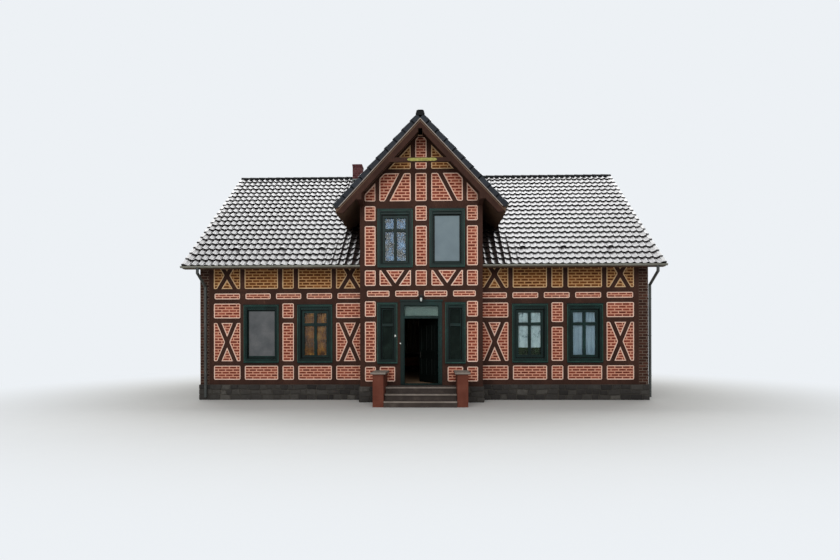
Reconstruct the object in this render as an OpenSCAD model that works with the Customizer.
// Half timbered farmhouse: one and a half storeys, roof ridge along X, with a
// projecting gabled bay over the front door.
// Front faces -Y, up is +Z. The origin is the middle of the ground plan's box,
// at ground level. Walls are drawn as seen from the front, in X and Z.

/* [Main house] */
// Length over the outer faces of the brick end walls
house_l = 13480; // [13300:10:14200]
// Depth over the outer faces of the front and rear walls
house_d = 9100; // [8400:50:10000]
// Thickness of the timber framed walls
wall_t = 160; // [130:5:200]
// Thickness of the brick end walls
end_wall_t = 272; // [240:2:300]
// Height of the fieldstone plinth
plinth_h = 460; // [300:10:700]
// Thickness of the plinth walls
plinth_t = 400; // [300:10:500]
// How far the plinth stands out in front of the walls
plinth_out = 25; // [10:5:60]

/* [Timber frame heights] */
// Height of the sill beam
sill_h = 145; // [120:5:180]
// Brick panel under the windows
low_panel_h = 428; // [350:2:600]
// Height of the rail under the windows
sill_rail_h = 135; // [100:5:160]
// Brace panel beside the windows
mid_panel_h = 1162; // [1000:2:1400]
// Height of the rail over the braces
mid_rail_h = 140; // [100:5:160]
// Brick panel over that rail
top_panel_h = 450; // [300:5:600]
// Height of the head beam
head_h = 128; // [100:4:160]
// Height of the floor joists, whose ends show
joist_h = 177; // [140:1:220]
// Height of the beam on the joists
upper_sill_h = 138; // [100:2:160]
// Brick panel of the knee wall
knee_panel_h = 820; // [500:1:900]

/* [Timber frame widths] */
// Width of a post
post_w = 132; // [110:2:160]
// Width of the corner posts beside the end walls
corner_post_w = 141; // [110:1:180]
// Width of the field between the bay and its next post
inner_field_w = 827; // [700:1:900]
// Width of a window field
window_field_w = 1022; // [900:2:1060]
// Width of the narrow field between two windows
narrow_field_w = 349; // [300:1:400]
// How much lower the rail of the right narrow field is
narrow_drop = 142; // [0:2:300]
// Width of the diagonal braces
brace_w = 118; // [90:2:140]
// Distance from a brace's foot to the corner of its field
brace_foot = 165; // [100:5:200]
// How far the brick panels lie behind the timber
panel_in = 12; // [0:1:20]
// Width of the joists
joist_w = 165; // [120:5:200]
// Width of the joists under the bay's side walls
edge_joist_w = 200; // [160:5:240]
// Spacing of the joists
joist_pitch = 935; // [900:5:960]
// Distance from the bay to the first joist beside it
first_joist = 867; // [800:1:900]

/* [Bay] */
// Width of the bay
bay_w = 3534; // [3400:2:3700]
// How far the bay stands out from the front wall
bay_out = 750; // [600:10:900]
// Width of the bay's corner posts
bay_corner_w = 138; // [110:2:160]
// Width of the bay's outer brick column
bay_column_w = 314; // [280:2:340]
// Width of the posts outside the bay's windows
bay_post_w = 114; // [90:2:140]
// Distance from the middle to the bay's inner posts
bay_mid_x = 163; // [140:1:200]
// Width of the bay's inner posts
bay_mid_w = 132; // [100:2:150]
// Distance from the middle to the door posts
door_post_x = 600; // [580:5:650]
// Width of the door posts
door_post_w = 155; // [120:5:180]
// Spacing of the bay's joists
bay_joist_pitch = 833; // [820:1:850]
// Panel under the upper windows
bay_sill_panel_h = 449; // [380:1:520]
// Height of the rail under the upper windows
bay_sill_rail_h = 128; // [100:2:150]
// Brick column from that rail to the next one
bay_column_h = 1150; // [900:10:1300]
// Height of the bay's column rail
bay_rail_h = 144; // [100:2:160]
// Brick column from there to the tie beam
bay_upper_column_h = 430; // [300:5:500]
// Height of the tie beam
tie_h = 134; // [110:2:160]
// Brick panels over the tie beam
gable_panel_h = 808; // [600:4:900]
// Height of the rail in the gable
gable_rail_h = 115; // [90:5:140]
// Distance from the middle to the top of a gable brace
gable_brace_top_x = 555; // [500:5:600]
// Distance from the middle to the foot of a gable brace
gable_brace_foot_x = 979; // [900:1:1050]
// Width of the timber that follows the roof in the gable
gable_rafter_w = 55; // [40:5:200]

/* [Roof] */
// Pitch of the main roof in degrees
main_pitch = 37.75; // [34:0.25:42]
// Height of the main deck's edge at the eaves
eaves_z = 3980; // [3800:10:4100]
// Height of the main deck's end face, under which its underside is cut level
eaves_edge_h = 80; // [60:5:120]
// How far the eaves stand out
eaves_out = 600; // [450:10:700]
// How far the main roof stands out over the end walls
verge_out = 265; // [150:5:400]
// Upright thickness of the main roof's deck
deck_v = 200; // [150:5:240]
// Upright thickness of the bay's deck
bay_deck_v = 250; // [200:5:300]
// Pitch of the bay's roof in degrees
bay_pitch = 47; // [44:0.5:50]
// Height of the top of the bay's deck
bay_ridge_z = 8070; // [8000:10:8150]
// Half the width of the bay's roof
bay_roof_half = 2345; // [2200:5:2450]
// Distance from the middle to the feet of the barge boards and flying rafters
barge_half = 2280; // [2100:5:2350]
// How far the flying rafters' feet reach below the deck's underside
rafter_foot = 60; // [0:5:150]
// How far the bay's roof stands out over its wall
bay_verge_out = 700; // [400:10:800]
// Covering width of a pantile
tile_cover = 203; // [180:1:240]
// Radius of a pantile's roll
roll_r = 50; // [40:1:60]
// How far the rolls' axes lie below the deck's top
roll_sink = 6; // [0:1:20]
// Radius of the ridge tiles
cap_r = 120; // [100:5:150]
// Drop of the main ridge tiles' centre under the deck's top
main_cap_drop = 30; // [0:5:60]
// Drop of the bay's ridge tiles' centre under the deck's top
bay_cap_drop = 70; // [30:5:80]
// How far the bay's ridge tiles stand out over its deck
bay_cap_out = 30; // [0:5:60]
// Thickness of the barge boards
barge_t = 25; // [20:5:60]
// Width of the barge boards
barge_w = 35; // [25:5:200]
// Drop of the barge boards' top edge under the deck's top
barge_drop = 150; // [40:5:200]
// Width of the flying rafters in front of the gable
fly_w = 145; // [120:5:220]
// Thickness of the flying rafters
fly_t = 80; // [60:5:150]
// Height of the collar beam's underside
collar_z = 6712; // [6500:2:6900]
// Height of the collar beam
collar_h = 118; // [100:1:180]
// Width of the short post between the flying rafters
pendant_w = 120; // [90:5:160]
// Height of that post
pendant_h = 200; // [150:5:300]
// Height of its foot
pendant_z = 7440; // [7300:10:7500]
// How far it stands out in front of the rafters
pendant_out = 12; // [5:1:30]
// Width of the ridge purlin
purlin_w = 150; // [120:5:180]
// Height of the ridge purlin
purlin_h = 100; // [80:5:260]
// Height of the outer purlins' underside over that of the tie beam
purlin_seat = 20; // [10:5:60]
// Drop of the ridge purlin's top under the deck's top
purlin_drop = 335; // [335:5:420]

/* [Windows] */
// Width of the window casings
casing_w = 100; // [70:5:120]
// How far the casings stand out from the wall
casing_out = 25; // [15:5:40]
// How far the casings of the ground floor lap over the posts
casing_lap = 21; // [10:1:40]
// How far the casings of the upper windows lap over the posts
bay_casing_lap = 55; // [20:5:60]
// How far the casings of the sidelights lap over the posts
side_casing_lap = 68; // [20:2:70]
// How far the casings reach below the openings
casing_drop = 34; // [10:2:50]
// Depth of the window boxes behind the wall's face
box_depth = 120; // [100:5:125]
// Width of the ground floor's window boxes
box_w = 78; // [40:2:90]
// Width of the upper windows' boxes
bay_box_w = 58; // [40:2:80]
// Width of the sidelights' boxes
side_box_w = 32; // [24:2:60]
// Width of a window box's head
head_w = 160; // [60:5:200]
// Width of the sashes
sash_w = 92; // [60:2:110]
// Width of the sidelights' sashes
side_sash_w = 38; // [30:2:80]
// Height of the upper panes
upper_light_h = 320; // [250:5:400]
// Height of the sidelights' upper panes
side_light_h = 415; // [300:5:500]
// Thickness of the sashes
sash_t = 45; // [35:5:55]
// Width of the glazing bars
glazing_bar_w = 72; // [30:2:90]
// Thickness of the glass
glass_t = 6; // [4:1:10]
// Distance from the glass to the back of the window boxes
glass_in = 15; // [10:1:20]
// How far the glass reaches into the sashes
glass_lap = 8; // [5:1:15]
// Thickness of the outer window sills
sill_t = 22; // [15:1:40]
// How far they stand out in front of the casings
sill_out = 30; // [15:5:50]
// Height of the drip boards over the casings
drip_h = 28; // [15:1:50]
// How far the drip boards stand out in front of the casings
drip_out = 22; // [10:1:40]
// How far the drip boards stand out beside the casings
drip_side = 12; // [0:1:30]
// Lintel strip over the ground floor windows
window_head = 35; // [10:5:60]
// Lintel strip over the upper windows
bay_window_head = 84; // [40:2:100]
// Width of the end walls' windows
end_window_w = 1000; // [800:10:1200]
// Distance between the end walls' ground floor windows
end_window_gap = 3700; // [3000:10:4500]
// Distance between the end walls' upper windows
end_upper_gap = 2000; // [1600:10:2400]
// Height of the end walls' upper windows
end_upper_h = 1300; // [1000:10:1500]
// Height of their sills over the knee wall's foot
end_upper_sill = 500; // [300:10:700]

/* [Door and steps] */
// Width of the doorway between the jambs
door_w = 964; // [900:2:1000]
// Height of the doorway over the threshold
door_h = 1870; // [1800:10:2000]
// Height of the threshold over the floor
threshold_h = 14; // [10:1:30]
// Height of the bar between the door and its transom light
transom_bar_h = 81; // [60:1:100]
// Height of the transom light
transom_h = 285; // [200:5:320]
// Thickness of the door leaf
leaf_t = 46; // [40:2:60]
// Depth of the door frame in front of the leaf
jamb_d = 107; // [70:1:107]
// Width of the rebate that the leaf closes against
rebate = 15; // [12:1:20]
// Gap round the door leaf
leaf_gap = 7; // [6:1:12]
// Angle at which the door stands open in degrees
door_open = 58; // [0:1:90]
// Width of the stiles and rails of the door leaf
stile_w = 95; // [70:5:120]
// Depth of the door's sunk panels
panel_d = 14; // [8:1:18]
// Foot and height of the lower panels, measured on the leaf
low_door_panel = [205, 515];
// Foot and height of the upper panels, measured on the leaf
high_door_panel = [920, 790];
// Heights of the hinges on the leaf
hinge_at = [250, 900, 1560];
// Radius of the hinge barrels
hinge_r = 12; // [10:1:15]
// Height of the hinge barrels
hinge_h = 100; // [60:10:140]
// Height of the barrels' halves on the door frame
hinge_foot_h = 45; // [30:5:80]
// Gap between the two halves of a barrel
hinge_slack = 5; // [5:1:8]
// Length of the plates that hold them
hinge_plate_l = 60; // [40:5:90]
// Distance from the leaf to those plates
hinge_plate_gap = 6; // [6:1:8]
// Gap between the hinge barrels and the wall's inner face
hinge_gap = 5; // [5:1:8]
// Thickness of the hinge straps
strap_t = 10; // [8:1:12]
// Length of the hinge straps
strap_l = 260; // [60:10:400]
// Height of the hinge straps
strap_h = 45; // [30:5:60]
// Height of the door handle over the leaf's foot
handle_z = 800; // [700:10:900]
// Distance from the leaf's edge to the middle of the handle's plate
handle_in = 48; // [40:1:70]
// Width, thickness and height of the handle's plate
plate = [40, 6, 180];
// Distance from the leaf to the grip
grip_out = 46; // [35:1:60]
// Length, thickness and height of the grip
grip = [110, 14, 18];
// Radius of the handle's neck
neck_r = 9; // [6:1:12]
// Height of the drip board over the door
door_drip_h = 55; // [30:5:80]
// How far it reaches over the head beam's underside
door_drip_up = 40; // [20:5:60]
// How far it stands out in front of the bay
door_drip_out = 55; // [40:5:80]
// How far it stands out beside the door frame
door_drip_side = 20; // [5:5:40]
// Rise of a step
riser = 166; // [140:1:180]
// Going of a step
going = 320; // [260:10:360]
// Depth of the top step in front of the bay
landing_d = 630; // [500:10:900]
// Width of the steps
steps_w = 1954; // [1600:2:2200]
// Thickness of the treads
tread_t = 45; // [30:5:60]
// How far the treads stand out over the risers
nosing = 25; // [10:5:40]
// Width of the side walls of the steps
cheek_w = 290; // [240:10:340]
// Height of the side walls of the steps, with their caps
cheek_h = 930; // [800:10:1000]
// Gap between the side walls and the steps
cheek_gap = 8; // [5:1:20]
// Thickness of the caps
cap_t = 45; // [30:5:100]
// How far the caps stand out
cap_out = 55; // [20:5:60]

/* [Rainwater and chimney] */
// Radius of the gutters
gutter_r = 57; // [50:1:80]
// How far the gutters stand out beyond the main roof
gutter_over = 40; // [0:5:60]
// Radius of the bay's gutters
bay_gutter_r = 50; // [40:1:70]
// Drop of the gutters' rim under the deck's edge
gutter_drop = 8; // [0:1:60]
// Height of the gutters' back edge over the rim
gutter_back = 6; // [4:1:8]
// Sheet thickness of the gutters
gutter_t = 4; // [3:1:6]
// Radius of the downpipes
pipe_r = 42; // [35:1:50]
// Distance from the house's corner to the middle of a downpipe
pipe_in = 190; // [80:5:250]
// Distance from the corner to the downpipe that stands at the right end wall
pipe_round = 80; // [60:5:200]
// Distance from the house's end out to the outlet over that downpipe
outlet_out = 40; // [0:5:80]
// Gap between the downpipes and the wall
pipe_gap = 40; // [30:5:60]
// Fall of the downpipes' upright neck under the gutter
neck_h = 150; // [140:10:250]
// Fall of their slanting stretch
swan_h = 330; // [250:10:450]
// Height of the downpipes' foot over the ground
pipe_foot = 80; // [40:10:150]
// Heights of the downpipes' brackets
bracket_z = [700, 1900, 3000];
// Height and width of a bracket
bracket_h = 30; // [20:5:50]
// Width of a bracket's ring
bracket_ring = 5; // [3:1:8]
// Distance from the middle to the chimney's centre line
chimney_x = 2536; // [2500:2:2700]
// Width of the chimney along the ridge
chimney_w = 345; // [340:5:420]
// Depth of the chimney across the ridge
chimney_d = 490; // [450:10:600]
// Height of the chimney's top over the ridge
chimney_up = 495; // [400:5:900]
// Height of the chimney's cap
chimney_cap_h = 70; // [50:5:120]
// How far the chimney's cap stands out
chimney_cap_out = 12; // [5:1:50]

/* [Lantern] */
// Width, depth and height of the lantern's wall plate
lantern_plate = [70, 12, 130];
// Thickness of its arm
arm_t = 16; // [10:1:25]
// Distance from the wall to its lamp's middle
arm_l = 122; // [100:1:160]
// Radius of the glass at its foot and at its top
lamp_foot_r = 38; // [25:1:50]
lamp_top_r = 52; // [35:1:70]
// Height of the glass
lamp_h = 110; // [80:5:160]
// Radius of its roof's rim and height of the roof
lamp_roof_r = 70; // [50:1:90]
lamp_roof_h = 55; // [30:1:80]

/* [Floors] */
// Thickness of the ground floor
floor_t = 70; // [50:5:100]
// Thickness of the upper floor's boards
board_t = 40; // [25:5:60]
// Gap between the chimney and the joists that trim it
trim_gap = 80; // [50:10:200]

/* [Hidden] */
$fn = 48;
over = 10;
far = 30000;
seat_gap = 0.1;

bay_half = bay_w / 2;
roof_half = house_l / 2 + verge_out;
end_in = house_l / 2 - end_wall_t;
ridge_y = house_d / 2;
main_slope = tan(main_pitch);
bay_slope = tan(bay_pitch);
ridge_z = eaves_z + (ridge_y + eaves_out) * main_slope;

floor_z = plinth_h + floor_t;
sill_top = plinth_h + sill_h;
sill_rail_z = sill_top + low_panel_h;
sill_rail_top = sill_rail_z + sill_rail_h;
mid_rail_z = sill_rail_top + mid_panel_h;
mid_rail_top = mid_rail_z + mid_rail_h;
head_z = mid_rail_top + top_panel_h;
joist_z = head_z + head_h;
upper_sill_z = joist_z + joist_h;
knee_z = upper_sill_z + upper_sill_h;
plate_z = knee_z + knee_panel_h;
window_top = head_z - window_head;

bay_sill_rail_z = knee_z + bay_sill_panel_h;
bay_column_z = bay_sill_rail_z + bay_sill_rail_h;
bay_rail_z = bay_column_z + bay_column_h;
bay_rail_top = bay_rail_z + bay_rail_h;
tie_z = bay_rail_top + bay_upper_column_h;
tie_top = tie_z + tie_h;
gable_rail_z = tie_top + gable_panel_h;
gable_rail_top = gable_rail_z + gable_rail_h;
bay_window_top = tie_z - bay_window_head;
outer_purlin_z = tie_z + purlin_seat;

post_a = bay_half + inner_field_w;
window_1 = post_a + post_w;
post_b = window_1 + window_field_w;
narrow_x = post_b + post_w;
post_c = narrow_x + narrow_field_w;
window_2 = post_c + post_w;
post_d = window_2 + window_field_w;
outer_field = post_d + post_w;
outer_field_end = end_in - corner_post_w;

bay_y = -bay_out;
bay_in_y = bay_y + wall_t;
bay_column_out = bay_half - bay_corner_w;
bay_column_in = bay_column_out - bay_column_w;
bay_post_in = bay_column_in - bay_post_w;
bay_mid_out = bay_mid_x + bay_mid_w;
door_post_out = door_post_x + door_post_w;
side_light_w = bay_post_in - door_post_out;
bay_verge_y = bay_y - bay_verge_out;
rear_y = house_d - wall_t;

tile_n = round(2 * roof_half / tile_cover);
tile_w = 2 * roof_half / tile_n;
roll_h = roll_r - roll_sink + seat_gap;
main_roll_v = roll_h / cos(main_pitch);
bay_roll_v = roll_h / cos(bay_pitch);
// Where the bay's ridge ends: at the main ridge, or before it where it meets the main roof's rolls
bay_ridge_back = min(ridge_y, (bay_ridge_z - main_roll_v - eaves_z) / main_slope - eaves_out);

rear_post_w = post_w;
// Half the width of the panel in the middle of the rear wall
rear_mid_post = 175;
rear_window = rear_mid_post + rear_post_w;
rear_post = rear_window + window_field_w;
rear_column = rear_post + rear_post_w;
rear_field_post = bay_half - rear_post_w;

steps_front = bay_y - landing_d - 2 * going;
cheek_x = steps_w / 2 + cheek_gap;

gutter_z = eaves_z - gutter_drop;
gutter_y = -eaves_out - gutter_r;
rear_edge = house_d + eaves_out + 2 * gutter_r;
mid_y = (steps_front + rear_edge) / 2;

pipe_x = house_l / 2 - pipe_in;
pipe_off = pipe_gap + pipe_r;

door_top = floor_z + threshold_h + door_h;
transom_z = door_top + transom_bar_h;
jamb_back = bay_y + jamb_d;
leaf_y = jamb_back + leaf_gap;
leaf_w = door_w + 2 * rebate - 2 * leaf_gap;
leaf_z = floor_z + threshold_h + leaf_gap;
leaf_h = door_h + rebate - 2 * leaf_gap;
hinge_x = leaf_w / 2;
hinge_y = bay_in_y + hinge_gap + hinge_r;

brick = "#B0573F";
timber = "#45302B";
green = "#1B3A33";
tile = "#4A4446";
zinc = "#8D8C85";
stone = "#6E665C";

// Moves the house so that the middle of its plan is at the origin
module placed() translate([0, -mid_y, 0]) children();

// Mirrors left for side -1 and leaves right for side 1
module on_side(side) {
    if (side < 0) mirror([1, 0, 0]) children();
    else children();
}

// Stands a drawing in X and Z upright, from y back by t
module upright(y, t) translate([0, y + t, 0]) rotate([90, 0, 0]) linear_extrude(t) children();

// Carries a drawing in Y and Z along X, from x by l
module along_x(x, l) translate([x, 0, 0]) rotate([90, 0, 90]) linear_extrude(l) children();

// A rectangle from its limits
module rect(x0, x1, z0, z1) translate([x0, z0]) square([x1 - x0, z1 - z0]);

// A straight strip from p to q, run on at both ends
module strip(p, q, w) {
    d = q - p;
    translate(p) rotate(atan2(d[1], d[0])) translate([-w, -w / 2]) square([norm(d) + 2 * w, w]);
}

// A field with two crossed braces cut out of it
module crossed_field(x0, x1, z0, z1) {
    difference() {
        rect(x0, x1, z0, z1);
        strip([x0 + brace_foot, z0], [x1 - brace_foot, z1], brace_w);
        strip([x1 - brace_foot, z0], [x0 + brace_foot, z1], brace_w);
    }
}

// A field with two braces that meet at the middle of its foot
module v_field(x0, x1, z0, z1) {
    mid = (x0 + x1) / 2;
    difference() {
        rect(x0, x1, z0, z1);
        strip([x0 + brace_w, z1], [mid - 0.2 * brace_w, z0], brace_w);
        strip([x1 - brace_w, z1], [mid + 0.2 * brace_w, z0], brace_w);
    }
}

// Brick panels of the ground floor beside the bay, right side
module side_low_panels(drop) {
    rect(bay_half, post_a, sill_top, sill_rail_z);
    rect(window_1, post_b, sill_top, sill_rail_z);
    rect(narrow_x, post_c, sill_top, sill_rail_z);
    rect(window_2, post_d, sill_top, sill_rail_z);
    rect(outer_field, outer_field_end, sill_top, sill_rail_z);
    crossed_field(bay_half, post_a, sill_rail_top, mid_rail_z);
    rect(bay_half, post_a, mid_rail_top, head_z);
    rect(narrow_x, post_c, sill_rail_top, mid_rail_z - drop);
    rect(narrow_x, post_c, mid_rail_top - drop, head_z);
    crossed_field(outer_field, outer_field_end, sill_rail_top, mid_rail_z);
    rect(outer_field, outer_field_end, mid_rail_top, head_z);
}

// Window openings of the ground floor beside the bay, right side
module side_openings() {
    rect(window_1, post_b, sill_rail_top, window_top);
    rect(window_2, post_d, sill_rail_top, window_top);
}

// Brick panels of the knee wall, right side
module side_knee_panels() {
    crossed_field(bay_half, post_a, knee_z, plate_z);
    rect(window_1, post_b, knee_z, plate_z);
    rect(narrow_x, post_c, knee_z, plate_z);
    rect(window_2, post_d, knee_z, plate_z);
    crossed_field(outer_field, outer_field_end, knee_z, plate_z);
}

// Middle of each joist beside the bay, right side
function side_joists() = concat(
    [for (i = [0:3]) bay_half + first_joist + i * joist_pitch],
    [end_in - joist_w / 2]
);

// Left and right limits of the bay's joists, right side, the middle one first
function bay_joists() = [
    [-joist_w / 2, joist_w / 2],
    [bay_joist_pitch - joist_w / 2, bay_joist_pitch + joist_w / 2],
    [bay_half - edge_joist_w, bay_half]
];

// Left and right limits of the brick between the joist ends beside the bay
function side_gaps() = let (j = side_joists()) concat(
    [[bay_half, j[0] - joist_w / 2]],
    [for (i = [0:3]) [j[i] + joist_w / 2, j[i + 1] - joist_w / 2]]
);

// Section through the main roof, under its deck's top lowered by drop
module under_main_roof(drop) {
    polygon([
        [-eaves_out, 0], [-eaves_out, eaves_z - drop], [ridge_y, ridge_z - drop],
        [house_d + eaves_out, eaves_z - drop], [house_d + eaves_out, 0]
    ]);
}

// Solid under the main roof, over its whole length
module main_roof_space(drop) along_x(-far / 2, far) under_main_roof(drop);

// Front view of the space under the bay's roof, its deck's top lowered by drop
module under_bay_roof(drop) {
    polygon([
        [0, bay_ridge_z - drop], [far / 4, bay_ridge_z - drop - far / 4 * bay_slope],
        [-far / 4, bay_ridge_z - drop - far / 4 * bay_slope]
    ]);
}

// Lower timber wall on one side, without its bricks
module low_frame(x0, x1) {
    difference() {
        rect(x0, x1, plinth_h, joist_z);
        children();
    }
}

// Knee wall on one side, cut to the slope of the roof
module knee_wall(y, t) {
    intersection() {
        upright(y, t) children();
        main_roof_space(deck_v + seat_gap);
    }
}

// Timber frame of the front wall, one side
module front_frame(side, drop) {
    placed() on_side(side) {
        upright(0, wall_t) low_frame(bay_column_out, end_in) {
            side_low_panels(drop);
            side_openings();
        }
        knee_wall(0, wall_t) difference() {
            rect(bay_column_out, end_in, upper_sill_z, ridge_z);
            side_knee_panels();
        }
    }
}

// Bricks of the front wall, one side
module front_brick(side, drop) {
    placed() on_side(side) {
        upright(panel_in, wall_t - panel_in) {
            side_low_panels(drop);
            for (g = side_gaps()) rect(g[0], g[1], joist_z, upper_sill_z);
        }
        knee_wall(panel_in, wall_t - panel_in) side_knee_panels();
    }
}

// Front view of the bay's ground floor beside the door, right side
module bay_low_panels() {
    rect(door_post_out, bay_post_in, sill_top, sill_rail_z);
    rect(bay_column_in, bay_column_out, sill_top, sill_rail_z);
    rect(bay_column_in, bay_column_out, sill_rail_top, mid_rail_z);
    rect(bay_column_in, bay_column_out, mid_rail_top, head_z);
}

// Timber frame of the bay beside the door, one side
module bay_low_frame(side) {
    placed() on_side(side) upright(bay_y, wall_t) difference() {
        rect(door_post_x, bay_half, plinth_h, head_z);
        bay_low_panels();
        rect(door_post_out, bay_post_in, sill_rail_top, window_top);
    }
}

// Notches for the purlins as seen from the front, the outer ones wider by b
module purlin_notches(b) {
    rect(-purlin_w / 2, purlin_w / 2, bay_ridge_z - purlin_drop - purlin_h, bay_ridge_z - purlin_drop);
    for (side = [-1, 1]) on_side(side) rect(bay_column_out, bay_half + b, outer_purlin_z, bay_ridge_z);
}

// Ends of the purlins as seen from the front
module purlin_ends() {
    intersection() {
        purlin_notches(0);
        under_bay_roof(bay_deck_v + seat_gap);
    }
}

// Panels of the bay's upper floor and gable, right side
module bay_upper_panels() {
    v_field(bay_mid_out, bay_post_in, knee_z, bay_sill_rail_z);
    rect(bay_column_in, bay_column_out, knee_z, bay_sill_rail_z);
    rect(bay_column_in, bay_column_out, bay_column_z, bay_rail_z);
    rect(bay_column_in, bay_column_out, bay_rail_top, tie_z);
    intersection() {
        union() {
            rect(bay_column_in, bay_column_out, tie_top, gable_rail_z);
            difference() {
                rect(bay_mid_out, bay_post_in, tie_top, gable_rail_z);
                strip([gable_brace_foot_x, tie_top], [gable_brace_top_x, gable_rail_z], brace_w);
            }
            rect(bay_mid_out, bay_column_in, gable_rail_top, bay_ridge_z);
        }
        under_bay_roof(bay_deck_v + gable_rafter_w / cos(bay_pitch));
    }
}

// Panels in the middle of the bay's upper floor and gable
module bay_middle_panels() {
    rect(-bay_mid_x, bay_mid_x, knee_z, bay_sill_rail_z);
    rect(-bay_mid_x, bay_mid_x, bay_column_z, bay_rail_z);
    rect(-bay_mid_x, bay_mid_x, bay_rail_top, tie_z);
    rect(-bay_mid_x, bay_mid_x, tie_top, gable_rail_z);
    difference() {
        intersection() {
            rect(-bay_mid_x, bay_mid_x, gable_rail_top, bay_ridge_z);
            under_bay_roof(bay_deck_v + gable_rafter_w / cos(bay_pitch));
        }
        purlin_notches(0);
    }
}

// Window openings of the bay's upper floor
module bay_upper_openings() {
    for (side = [-1, 1]) on_side(side) rect(bay_mid_out, bay_post_in, bay_column_z, bay_window_top);
}

// All panels of the bay's upper floor and gable
module bay_gable_panels() {
    for (side = [-1, 1]) on_side(side) bay_upper_panels();
    bay_middle_panels();
}

// Side wall of the bay seen from the side, in Y and Z, over the lower part
module bay_side_low(panel) {
    y0 = bay_in_y;
    if (panel) {
        rect(y0, -post_w, sill_top, sill_rail_z);
        rect(y0, -post_w, sill_rail_top, mid_rail_z);
        rect(y0, -post_w, mid_rail_top, head_z);
    } else difference() {
        rect(y0, 0, plinth_h, joist_z);
        bay_side_low(true);
    }
}

// Where the bay's roof meets the side walls, and where they meet the main roof
side_wall_top = bay_ridge_z - bay_deck_v - bay_half * bay_slope;
side_wall_back = (side_wall_top - eaves_z + deck_v) / main_slope - eaves_out;

// Side wall of the bay over the joists, in Y and Z
module bay_side_high(panel) {
    foot = eaves_z - deck_v + eaves_out * main_slope + seat_gap;
    if (panel) {
        rect(bay_in_y, -post_w, knee_z, bay_sill_rail_z);
        rect(bay_in_y, -post_w, bay_column_z, bay_rail_z);
        difference() {
            rect(0, ridge_y, bay_column_z, bay_rail_z);
            under_main_roof(deck_v - post_w / cos(main_pitch));
        }
        rect(bay_in_y, -post_w, bay_rail_top, tie_z);
    } else difference() {
        polygon([
            [bay_in_y, upper_sill_z], [0, upper_sill_z], [0, foot],
            [side_wall_back - seat_gap / main_slope, side_wall_top], [bay_in_y, side_wall_top]
        ]);
        bay_side_high(true);
        rect(bay_y - over, far, outer_purlin_z, far);
    }
}

// Outline of a window ring of width b, with a head of its own width
module ring(w, h, b, top) {
    difference() {
        rect(-w / 2, w / 2, 0, h);
        rect(-w / 2 + b, w / 2 - b, b, h - top);
    }
}

// A window in an opening of width w and height h, wall face at y = 0, its upper panes light high
module window(w, h, lap, box, sash, light, mullion) {
    out = w / 2 + lap;
    light_top = h - head_w - sash;
    upright(-casing_out, casing_out) difference() {
        rect(-out, out, -casing_drop, h);
        rect(-out + casing_w, out - casing_w, -casing_drop + casing_w, h - casing_w);
    }
    upright(0, box_depth) ring(w, h, box, head_w);
    upright(box_depth - sash_t - glass_in, sash_t) {
        translate([0, box]) ring(w - 2 * box, h - box - head_w, sash, sash);
        if (mullion) rect(-glazing_bar_w / 2, glazing_bar_w / 2, box + sash, light_top);
        rect(-w / 2 + box + sash, w / 2 - box - sash, light_top - light - glazing_bar_w, light_top - light);
    }
    translate([-out, -casing_out - sill_out, -casing_drop - sill_t]) {
        cube([2 * out, casing_out + sill_out, sill_t]);
    }
    translate([-out - drip_side, -casing_out - drip_out, h - drip_h]) {
        cube([2 * (out + drip_side), casing_out + drip_out, drip_h]);
    }
}

// The glass of such a window, behind its sash
module pane(w, h, box) {
    in = box + glass_lap;
    translate([-w / 2 + in, box_depth - glass_in, in]) {
        cube([w - 2 * in, glass_t, h - in - head_w - glass_lap]);
    }
}

ground_window_h = window_top - sill_rail_top;
upper_window_h = bay_window_top - bay_column_z;

// Places of the windows beside the bay, at the middle of each opening
function side_windows() = [window_1 + window_field_w / 2, window_2 + window_field_w / 2];

// Places of the rear wall's middle windows
rear_window_x = rear_window + window_field_w / 2;

// Turns what faces the front so that it faces the rear wall's outside
module facing_rear() translate([0, house_d, 0]) mirror([0, 1, 0]) children();

// Turns what faces the front so that it faces an end wall's outside
module facing_end(side) on_side(side) translate([house_l / 2, 0, 0]) rotate([0, 0, 90]) children();

// Places of the end walls' windows: distance from the ridge and height
function end_windows_low() = [for (s = [-1, 1]) [ridge_y + s * end_window_gap / 2, sill_rail_top]];
function end_windows_high() = [for (s = [-1, 1]) [ridge_y + s * end_upper_gap / 2, knee_z + end_upper_sill]];

// Brick end wall with its gable, cut to the roof
module end_wall(side) {
    placed() on_side(side) along_x(end_in, end_wall_t) difference() {
        intersection() {
            rect(0, house_d, plinth_h, ridge_z);
            under_main_roof(deck_v + seat_gap);
        }
        for (p = end_windows_low()) {
            rect(p[0] - end_window_w / 2, p[0] + end_window_w / 2, p[1], p[1] + ground_window_h);
        }
        for (p = end_windows_high()) {
            rect(p[0] - end_window_w / 2, p[0] + end_window_w / 2, p[1], p[1] + end_upper_h);
        }
    }
}

// Rear wall's middle part on one side, between the two mirrored side parts
module rear_middle_panels() {
    for (side = [-1, 1]) on_side(side) {
        rect(rear_window, rear_post, sill_top, sill_rail_z);
        rect(rear_column, rear_field_post, sill_top, sill_rail_z);
        rect(rear_column, rear_field_post, sill_rail_top, mid_rail_z);
        rect(rear_column, rear_field_post, mid_rail_top, head_z);
    }
    rect(-rear_mid_post, rear_mid_post, sill_top, sill_rail_z);
    rect(-rear_mid_post, rear_mid_post, sill_rail_top, mid_rail_z);
    rect(-rear_mid_post, rear_mid_post, mid_rail_top, head_z);
}

module rear_knee_middle() {
    for (side = [-1, 1]) on_side(side) {
        rect(rear_window, rear_post, knee_z, plate_z);
        rect(rear_column, rear_field_post, knee_z, plate_z);
    }
    rect(-rear_mid_post, rear_mid_post, knee_z, plate_z);
}

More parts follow.
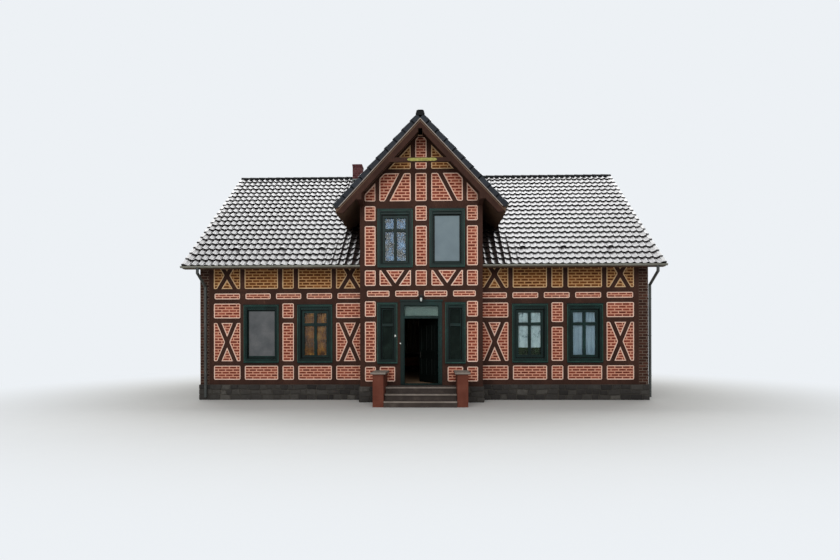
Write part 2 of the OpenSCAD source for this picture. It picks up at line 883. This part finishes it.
// Left and right limits of the brick between the joist ends of the rear wall, right side
function rear_gaps() = let (b = bay_joists()) [
    [b[0][1], b[1][0]], [b[1][1], b[2][0]], [b[2][1], side_joists()[0] - joist_w / 2]
];

module plinth() {
    color(stone) placed() difference() {
        linear_extrude(plinth_h) union() {
            rect(-house_l / 2 - plinth_out, house_l / 2 + plinth_out, -plinth_out, house_d + plinth_out);
            rect(-bay_half - plinth_out, bay_half + plinth_out, bay_y, over);
        }
        translate([0, 0, -over]) linear_extrude(plinth_h + 2 * over) union() {
            rect(-house_l / 2 + plinth_t, house_l / 2 - plinth_t, plinth_t, house_d - plinth_t);
            rect(-bay_half + plinth_t, bay_half - plinth_t, bay_y + plinth_t, plinth_t + over);
        }
    }
}

module ground_floor() {
    color("#8A6E52") placed() translate([0, 0, plinth_h]) linear_extrude(floor_t) union() {
        rect(-end_in, end_in, wall_t, rear_y);
        rect(-bay_column_out, bay_column_out, bay_in_y, wall_t + over);
    }
}

module upper_floor() {
    color("#8A6E52") placed() difference() {
        translate([0, 0, upper_sill_z]) linear_extrude(board_t) union() {
            rect(-end_in, end_in, wall_t, rear_y);
            rect(-bay_column_out, bay_column_out, bay_in_y, wall_t + over);
        }
        chimney_shaft(plinth_h, far);
    }
}

// The chimney's column between two heights
module chimney_shaft(z0, z1) {
    translate([-chimney_x - chimney_w / 2, ridge_y - chimney_d / 2, z0]) {
        cube([chimney_w, chimney_d, z1 - z0]);
    }
}

module floor_joists() {
    placed() color(timber) {
        difference() {
            union() {
                for (x = side_joists(), side = [-1, 1]) {
                    translate([side * x - joist_w / 2, 0, joist_z]) cube([joist_w, house_d, joist_h]);
                }
                for (j = bay_joists(), side = [-1, 1]) if (j[0] > 0 || side > 0) on_side(side) {
                    translate([j[0], bay_y, joist_z]) cube([j[1] - j[0], house_d + bay_out, joist_h]);
                }
                for (s = [-1, 1]) {
                    y = ridge_y + s * (chimney_d / 2 + trim_gap + joist_w / 2);
                    translate([-side_joists()[1], y - joist_w / 2, joist_z]) {
                        cube([side_joists()[1] - bay_joists()[2][1], joist_w, joist_h]);
                    }
                }
            }
            translate([-side_joists()[1] + joist_w / 2, ridge_y - chimney_d / 2 - trim_gap, joist_z - over]) {
                cube([
                    side_joists()[1] - bay_joists()[2][1] - joist_w / 2, chimney_d + 2 * trim_gap,
                    joist_h + 2 * over
                ]);
            }
        }
    }
}

module front_frame_left() color(timber) front_frame(-1, 0);

module front_frame_right() color(timber) front_frame(1, narrow_drop);

module bay_frame_left() color(timber) bay_low_frame(-1);

module bay_frame_right() color(timber) bay_low_frame(1);

module bay_gable_frame() {
    color(timber) placed() {
        upright(bay_y, wall_t) rect(-bay_half, bay_half, head_z, joist_z);
        upright(bay_y, wall_t) difference() {
            intersection() {
                rect(-bay_half, bay_half, upper_sill_z, bay_ridge_z);
                under_bay_roof(bay_deck_v + seat_gap);
            }
            bay_gable_panels();
            bay_upper_openings();
            purlin_notches(over);
        }
    }
}

module bay_side_frames() {
    color(timber) placed() for (side = [-1, 1]) on_side(side) {
        along_x(bay_column_out, bay_corner_w) bay_side_low(false);
        along_x(bay_column_out, bay_corner_w) bay_side_high(false);
    }
}

module rear_frame() {
    color(timber) placed() {
        upright(rear_y, wall_t) difference() {
            rect(-end_in, end_in, plinth_h, joist_z);
            for (side = [-1, 1]) on_side(side) {
                side_low_panels(0);
                side_openings();
                rect(rear_window, rear_post, sill_rail_top, window_top);
            }
            rear_middle_panels();
        }
        knee_wall(rear_y, wall_t) difference() {
            rect(-end_in, end_in, upper_sill_z, ridge_z);
            for (side = [-1, 1]) on_side(side) side_knee_panels();
            rear_knee_middle();
        }
    }
}

module front_brick_left() color(brick) front_brick(-1, 0);

module front_brick_right() color(brick) front_brick(1, narrow_drop);

module bay_brick() {
    color(brick) placed() for (side = [-1, 1]) on_side(side) {
        upright(bay_y + panel_in, wall_t - panel_in) {
            bay_low_panels();
            for (g = [rear_gaps()[0], rear_gaps()[1]]) rect(g[0], g[1], joist_z, upper_sill_z);
        }
        along_x(bay_column_out, bay_corner_w - panel_in) {
            bay_side_low(true);
            bay_side_high(true);
        }
    }
}

module bay_gable_brick() {
    color(brick) placed() upright(bay_y + panel_in, wall_t - panel_in) bay_gable_panels();
}

module rear_brick() {
    color(brick) placed() {
        upright(rear_y, wall_t - panel_in) {
            rear_middle_panels();
            for (side = [-1, 1]) on_side(side) {
                side_low_panels(0);
                for (i = [1:4]) rect(side_gaps()[i][0], side_gaps()[i][1], joist_z, upper_sill_z);
                for (g = rear_gaps()) rect(g[0], g[1], joist_z, upper_sill_z);
            }
        }
        knee_wall(rear_y, wall_t - panel_in) {
            for (side = [-1, 1]) on_side(side) side_knee_panels();
            rear_knee_middle();
        }
    }
}

module end_wall_left() color("#6A4A3E") end_wall(-1);

module end_wall_right() color("#6A4A3E") end_wall(1);

// Section through the main roof's front deck, its underside cut level at the eaves
module deck_section() {
    cut_y = -eaves_out + (deck_v - eaves_edge_h) / main_slope;
    polygon([
        [-eaves_out, eaves_z], [ridge_y, ridge_z], [ridge_y, ridge_z - deck_v],
        [cut_y, eaves_z - eaves_edge_h], [-eaves_out, eaves_z - eaves_edge_h]
    ]);
}

// The rolls of n pantiles side by side, each a round bar that lies along a slope of the given pitch
// and length. They start at the origin and are spaced along X.
module rolls(n, pitch, length) {
    rotate([pitch - 90, 0, 0]) linear_extrude(length) {
        for (i = [0:n - 1]) translate([(i + 0.5) * tile_w, roll_sink]) circle(roll_r);
    }
}

// The round bar that the main roof's ridge tiles are cut from, with a gap round it
module main_ridge_bar(gap) {
    along_x(-far / 2, far) translate([ridge_y, ridge_z - main_cap_drop]) circle(cap_r + gap);
}

// The rolls of the main roof's front slope, up to the ridge tiles
module main_rolls() {
    difference() {
        translate([-roof_half, -eaves_out, eaves_z]) {
            rolls(tile_n, main_pitch, (ridge_y + eaves_out) / cos(main_pitch));
        }
        main_ridge_bar(seat_gap);
    }
}

// What the bay takes out of the front slope, its deck's top raised by rise
module bay_cut(rise) {
    intersection() {
        upright(bay_verge_y, far) under_bay_roof(-rise);
        translate([-bay_half, bay_verge_y, 0]) cube([bay_w, far, far]);
    }
}

// What the bay's overhanging deck and its rolls take out of the front slope's rolls
module overhang_cut() {
    upright(bay_verge_y, far) intersection() {
        difference() {
            under_bay_roof(-bay_roll_v);
            under_bay_roof(bay_deck_v + seat_gap);
        }
        rect(-bay_roof_half - seat_gap, bay_roof_half + seat_gap, 0, ridge_z);
    }
}

// Front slope of the main roof on one side of the bay
module roof_front(side) {
    color(tile) placed() {
        difference() {
            on_side(side) along_x(0, roof_half) deck_section();
            bay_cut(seat_gap);
            chimney_shaft(plinth_h, far);
        }
        difference() {
            intersection() {
                main_rolls();
                on_side(side) translate([0, -eaves_out - far, 0]) cube([roof_half, 2 * far, far]);
            }
            bay_cut(bay_roll_v);
            overhang_cut();
            chimney_shaft(plinth_h, far);
        }
    }
}

module roof_front_left() roof_front(-1);

module roof_front_right() roof_front(1);

module roof_rear() {
    color(tile) placed() difference() {
        facing_rear() union() {
            along_x(-roof_half, 2 * roof_half) deck_section();
            main_rolls();
        }
        chimney_shaft(plinth_h, far);
    }
}

// The rolls of the bay's right slope, up to its ridge tiles and to the main roof
module bay_rolls() {
    difference() {
        translate([bay_roof_half, bay_verge_y, bay_ridge_z - bay_roof_half * bay_slope]) rotate([0, 0, 90]) {
            rolls(floor((bay_ridge_back - bay_verge_y) / tile_w), bay_pitch, bay_roof_half / cos(bay_pitch));
        }
        upright(bay_verge_y - far / 2, far) bay_ridge_circle(seat_gap);
        main_ridge_bar(seat_gap);
        main_roof_space(-main_roll_v);
    }
}

// Section through the bar that the bay's ridge tiles are cut from, with a gap round it
module bay_ridge_circle(gap) {
    translate([0, bay_ridge_z - bay_cap_drop]) circle(cap_r + gap);
}

// One slope of the bay's roof, let into the front slope of the main roof
module bay_roof(side) {
    color(tile) placed() on_side(side) {
        bay_rolls();
        difference() {
            upright(bay_verge_y, ridge_y - bay_verge_y) polygon([
                [0, bay_ridge_z], [bay_roof_half, bay_ridge_z - bay_roof_half * bay_slope],
                [bay_roof_half, bay_ridge_z - bay_roof_half * bay_slope - bay_deck_v],
                [0, bay_ridge_z - bay_deck_v]
            ]);
            main_roof_space(deck_v);
            translate([bay_half, 0, 0]) main_roof_space_beyond();
        }
    }
}

// Solid under the main deck's top, to the right of its own origin
module main_roof_space_beyond() along_x(0, far / 2) under_main_roof(-seat_gap);

module bay_roof_left() bay_roof(-1);

module bay_roof_right() bay_roof(1);

module ridge_tiles() {
    color(tile) placed() {
        difference() {
            intersection() {
                main_ridge_bar(0);
                translate([-roof_half, 0, 0]) cube([2 * roof_half, house_d, far]);
            }
            main_roof_space(-seat_gap);
            upright(bay_verge_y, far) under_bay_roof(-seat_gap);
            chimney_shaft(plinth_h, far);
        }
        difference() {
            upright(bay_verge_y - bay_cap_out, ridge_y - bay_verge_y + bay_cap_out) bay_ridge_circle(0);
            upright(bay_verge_y - over - bay_cap_out, far) under_bay_roof(-seat_gap);
            main_ridge_bar(0);
        }
    }
}

// Sloping band of one side of the bay's gable, from drop by w across
module slope_band(drop, w) {
    low = bay_ridge_z - bay_deck_v - barge_half * bay_slope - rafter_foot;
    intersection() {
        difference() {
            under_bay_roof(drop);
            under_bay_roof(drop + w / cos(bay_pitch));
        }
        rect(-barge_half, barge_half, low, bay_ridge_z);
    }
}

module barge_boards() {
    color(timber) placed() upright(bay_verge_y - barge_t, barge_t) slope_band(barge_drop, barge_w);
}

module flying_rafters() {
    color(timber) placed() {
        upright(bay_verge_y, fly_t) slope_band(bay_deck_v + seat_gap, fly_w);
        upright(bay_verge_y, fly_t) intersection() {
            rect(-bay_roof_half, bay_roof_half, collar_z, collar_z + collar_h);
            under_bay_roof(bay_deck_v + over);
        }
        upright(bay_verge_y - pendant_out, fly_t + pendant_out) {
            rect(-pendant_w / 2, pendant_w / 2, pendant_z, pendant_z + pendant_h);
        }
    }
}

// The purlins run back to the main roof, and the outer ones are notched under the flying rafters
module purlins() {
    color(timber) placed() {
        difference() {
            upright(bay_verge_y + fly_t, ridge_y - bay_verge_y - fly_t) purlin_ends();
            main_roof_space(deck_v);
        }
        upright(bay_verge_y, fly_t) intersection() {
            difference() {
                purlin_ends();
                rect(-purlin_w, purlin_w, tie_z, bay_ridge_z);
            }
            under_bay_roof(bay_deck_v + 2 * seat_gap + fly_w / cos(bay_pitch));
        }
    }
}

// Half a disc under the rim of a gutter
module gutter_half(r) {
    difference() {
        circle(r);
        rect(-2 * r, 2 * r, 0, 2 * r);
    }
}

// Half round gutter of radius r with a flat back
module gutter_section(r) {
    difference() {
        gutter_half(r);
        circle(r - gutter_t);
    }
    rect(r - gutter_t, r, 0, gutter_back);
}

// A length of gutter along X
module gutter(x0, x1) {
    along_x(x0, x1 - x0) translate([gutter_y, gutter_z]) gutter_section(gutter_r);
    for (x = [x0, x1 - gutter_t]) along_x(x, gutter_t) translate([gutter_y, gutter_z]) gutter_half(gutter_r);
}

// The gutter along the right slope of the bay's roof, which ends on the main roof
module bay_gutter() {
    x = bay_roof_half + bay_gutter_r;
    z = bay_ridge_z - bay_roof_half * bay_slope - gutter_drop;
    difference() {
        union() {
            upright(bay_verge_y, ridge_y - bay_verge_y) translate([x, z]) mirror([1, 0]) {
                gutter_section(bay_gutter_r);
            }
            upright(bay_verge_y, gutter_t) translate([x, z]) gutter_half(bay_gutter_r);
        }
        main_roof_space(-main_roll_v);
    }
}

module gutters() {
    color(zinc) placed() {
        for (side = [-1, 1]) on_side(side) {
            gutter(bay_half, roof_half + gutter_over);
            bay_gutter();
        }
        facing_rear() gutter(-roof_half - gutter_over, roof_half + gutter_over);
    }
}

// A round bar from p to q
module rod(p, q, r) {
    d = q - p;
    translate(p) rotate([0, acos(d[2] / norm(d)), atan2(d[1], d[0])]) cylinder(h = norm(d), r = r);
}

// One downpipe with its swan neck and brackets, from an outlet at x down to the place p by the wall,
// which lies in the direction back, in degrees
module downpipe(x, p, back) {
    bend_1 = [x, gutter_y, gutter_z - gutter_r - neck_h];
    bend_2 = [p[0], p[1], bend_1[2] - swan_h];
    foot = [p[0], p[1], pipe_foot];
    difference() {
        rod(bend_1, [x, gutter_y, gutter_z], pipe_r);
        along_x(x - 2 * pipe_r, 4 * pipe_r) translate([gutter_y, gutter_z]) circle(gutter_r + seat_gap);
    }
    rod(bend_2, bend_1, pipe_r);
    rod(foot, bend_2, pipe_r);
    for (q = [bend_1, bend_2]) translate(q) sphere(r = pipe_r + over / 5);
    for (z = bracket_z) translate([p[0], p[1], z]) {
        cylinder(h = bracket_h, r = pipe_r + bracket_ring);
        rotate([0, 0, back]) translate([0, -bracket_h / 2, 0]) cube([pipe_off, bracket_h, bracket_h]);
    }
}

module downpipes() {
    color(zinc) placed() {
        downpipe(-pipe_x, [-pipe_x, -pipe_off], 90);
        downpipe(house_l / 2 + outlet_out, [house_l / 2 + pipe_off, pipe_round], 180);
        facing_rear() for (side = [-1, 1]) downpipe(side * pipe_x, [side * pipe_x, -pipe_off], 90);
    }
}

module chimney() {
    top = ridge_z + chimney_up;
    color("#6E4347") placed() {
        chimney_shaft(floor_z, top);
        translate([
            -chimney_x - chimney_w / 2 - chimney_cap_out, ridge_y - chimney_d / 2 - chimney_cap_out,
            top - chimney_cap_h
        ]) cube([chimney_w + 2 * chimney_cap_out, chimney_d + 2 * chimney_cap_out, chimney_cap_h]);
    }
}

module front_windows() {
    color(green) placed() for (x = side_windows(), side = [-1, 1]) translate([side * x, 0, sill_rail_top]) {
        window(window_field_w, ground_window_h, casing_lap, box_w, sash_w, upper_light_h, true);
    }
}

module bay_windows() {
    side_x = (door_post_out + bay_post_in) / 2;
    up_x = (bay_mid_out + bay_post_in) / 2;
    color(green) placed() for (side = [-1, 1]) {
        translate([side * side_x, bay_y, sill_rail_top]) {
            window(side_light_w, ground_window_h, side_casing_lap, side_box_w, side_sash_w, side_light_h,
                false);
        }
        translate([side * up_x, bay_y, bay_column_z]) {
            window(bay_post_in - bay_mid_out, upper_window_h, bay_casing_lap, bay_box_w, sash_w,
                upper_light_h, true);
        }
    }
}

module rear_windows() {
    color(green) placed() facing_rear() for (x = concat(side_windows(), [rear_window_x]), side = [-1, 1]) {
        translate([side * x, 0, sill_rail_top]) {
            window(window_field_w, ground_window_h, casing_lap, box_w, sash_w, upper_light_h, true);
        }
    }
}

module end_windows() {
    color(green) placed() for (side = [-1, 1]) facing_end(side) {
        for (p = end_windows_low()) {
            translate([p[0], 0, p[1]]) {
                window(end_window_w, ground_window_h, casing_lap, box_w, sash_w, upper_light_h, true);
            }
        }
        for (p = end_windows_high()) {
            translate([p[0], 0, p[1]]) {
                window(end_window_w, end_upper_h, casing_lap, box_w, sash_w, upper_light_h, true);
            }
        }
    }
}

module ground_floor_glass() {
    side_x = (door_post_out + bay_post_in) / 2;
    color("#9FB4B8") placed() {
        for (side = [-1, 1]) {
            for (x = side_windows()) translate([side * x, 0, sill_rail_top]) {
                pane(window_field_w, ground_window_h, box_w);
            }
            translate([side * side_x, bay_y, sill_rail_top]) pane(side_light_w, ground_window_h, side_box_w);
            facing_rear() for (x = concat(side_windows(), [rear_window_x])) {
                translate([side * x, 0, sill_rail_top]) pane(window_field_w, ground_window_h, box_w);
            }
            facing_end(side) for (p = end_windows_low()) {
                translate([p[0], 0, p[1]]) pane(end_window_w, ground_window_h, box_w);
            }
        }
        translate([-door_w / 2 - rebate / 2, jamb_back, transom_z - rebate / 2]) {
            cube([door_w + rebate, glass_t, transom_h + rebate]);
        }
    }
}

module upper_floor_glass() {
    up_x = (bay_mid_out + bay_post_in) / 2;
    color("#9FB4B8") placed() for (side = [-1, 1]) {
        translate([side * up_x, bay_y, bay_column_z]) {
            pane(bay_post_in - bay_mid_out, upper_window_h, bay_box_w);
        }
        facing_end(side) for (p = end_windows_high()) {
            translate([p[0], 0, p[1]]) pane(end_window_w, end_upper_h, box_w);
        }
    }
}

// Outline of the door frame with its doorway and transom light, both wider by b
module door_outline(z0, b) {
    difference() {
        rect(-door_post_x, door_post_x, z0, head_z);
        rect(-door_w / 2 - b, door_w / 2 + b, floor_z + threshold_h, door_top + b);
        rect(-door_w / 2 - b, door_w / 2 + b, transom_z - b, transom_z + transom_h + b);
    }
}

module door_frame() {
    color(green) placed() {
        upright(bay_y - casing_out, casing_out) door_outline(floor_z, 0);
        upright(bay_y, jamb_d) door_outline(plinth_h, 0);
        upright(jamb_back, wall_t - jamb_d) door_outline(plinth_h, rebate);
        translate([
            -door_post_x - door_drip_side, bay_y - door_drip_out, head_z + door_drip_up - door_drip_h
        ]) cube([2 * (door_post_x + door_drip_side), door_drip_out, door_drip_h]);
        for (z = hinge_at) translate([hinge_x, hinge_y, leaf_z + z - hinge_slack - hinge_foot_h]) {
            cylinder(h = hinge_foot_h, r = hinge_r);
            translate([hinge_plate_gap, -hinge_r - hinge_gap, 0]) {
                cube([hinge_plate_l, strap_t, hinge_foot_h]);
            }
        }
    }
}

// Moves a door piece from its closed place to where it stands open
module hung() {
    placed() translate([hinge_x, hinge_y, 0]) rotate([0, 0, -door_open]) translate([-hinge_x, -hinge_y, 0]) {
        children();
    }
}

module door_leaf() {
    panel_w = (leaf_w - 4 * stile_w) / 3;
    color(green) hung() {
        translate([-leaf_w / 2, leaf_y, leaf_z]) difference() {
            cube([leaf_w, leaf_t, leaf_h]);
            for (i = [0:2], y = [-over, leaf_t - panel_d], p = [low_door_panel, high_door_panel]) {
                translate([stile_w + i * (panel_w + stile_w), y, p[0]]) cube([panel_w, panel_d + over, p[1]]);
            }
        }
        for (z = hinge_at) translate([hinge_x, hinge_y, leaf_z + z]) {
            cylinder(h = hinge_h, r = hinge_r);
            translate([-strap_l, -hinge_r - hinge_gap, (hinge_h - strap_h) / 2]) {
                cube([strap_l, strap_t, strap_h]);
            }
        }
    }
}

module door_handle() {
    color("#B8B0A0") hung() translate([-leaf_w / 2 + handle_in, leaf_y, leaf_z + handle_z]) {
        for (s = [0, 1]) translate([0, s * leaf_t, 0]) mirror([0, 1 - s, 0]) {
            translate([-plate[0] / 2, 0, -plate[2] / 2]) cube(plate);
            translate([0, plate[1], plate[2] / 4]) rotate([-90, 0, 0]) {
                cylinder(h = grip_out + grip[1] / 2 - plate[1], r = neck_r);
            }
            translate([-neck_r, grip_out, plate[2] / 4 - neck_r]) cube(grip);
        }
    }
}

// One step with its tread, from its front edge back to the bay
module step(n) {
    front = steps_front + n * going;
    color(stone) placed() {
        translate([-steps_w / 2, front + nosing, n * riser]) {
            cube([steps_w, bay_y - front - nosing, riser - tread_t]);
        }
        translate([-steps_w / 2, front, (n + 1) * riser - tread_t]) cube([steps_w, bay_y - front, tread_t]);
    }
}

module step_bottom() step(0);

module step_middle() step(1);

module step_top() step(2);

module step_side_walls() {
    color(brick) placed() for (side = [-1, 1]) on_side(side) {
        translate([cheek_x, steps_front + cap_out, 0]) {
            cube([cheek_w, bay_y - steps_front - cap_out, cheek_h - cap_t]);
        }
    }
}

module side_wall_caps() {
    color(stone) placed() for (side = [-1, 1]) on_side(side) {
        translate([cheek_x - cap_out, steps_front, cheek_h - cap_t]) {
            cube([cheek_w + 2 * cap_out, bay_y - steps_front, cap_t]);
        }
    }
}

module lantern() {
    color("#2A2A28") placed() translate([0, bay_y, head_z + head_h / 2]) {
        translate([-lantern_plate[0] / 2, -lantern_plate[1], -over]) cube(lantern_plate);
        translate([-arm_t / 2, -arm_l, lantern_plate[2] / 2]) cube([arm_t, arm_l, arm_t]);
        translate([0, -arm_l, lantern_plate[2] / 2 + arm_t - lamp_h - lamp_roof_h]) rotate_extrude() polygon([
            [0, 0], [lamp_foot_r, 0], [lamp_top_r, lamp_h], [lamp_roof_r, lamp_h + over / 2],
            [arm_t, lamp_h + lamp_roof_h], [0, lamp_h + lamp_roof_h]
        ]);
    }
}

plinth();
ground_floor();
upper_floor();
floor_joists();
front_frame_left();
front_frame_right();
bay_frame_left();
bay_frame_right();
bay_gable_frame();
bay_side_frames();
rear_frame();
front_brick_left();
front_brick_right();
bay_brick();
bay_gable_brick();
rear_brick();
end_wall_left();
end_wall_right();
roof_front_left();
roof_front_right();
roof_rear();
bay_roof_left();
bay_roof_right();
ridge_tiles();
barge_boards();
flying_rafters();
purlins();
gutters();
downpipes();
chimney();
front_windows();
bay_windows();
rear_windows();
end_windows();
ground_floor_glass();
upper_floor_glass();
door_frame();
door_leaf();
door_handle();
step_bottom();
step_middle();
step_top();
step_side_walls();
side_wall_caps();
lantern();
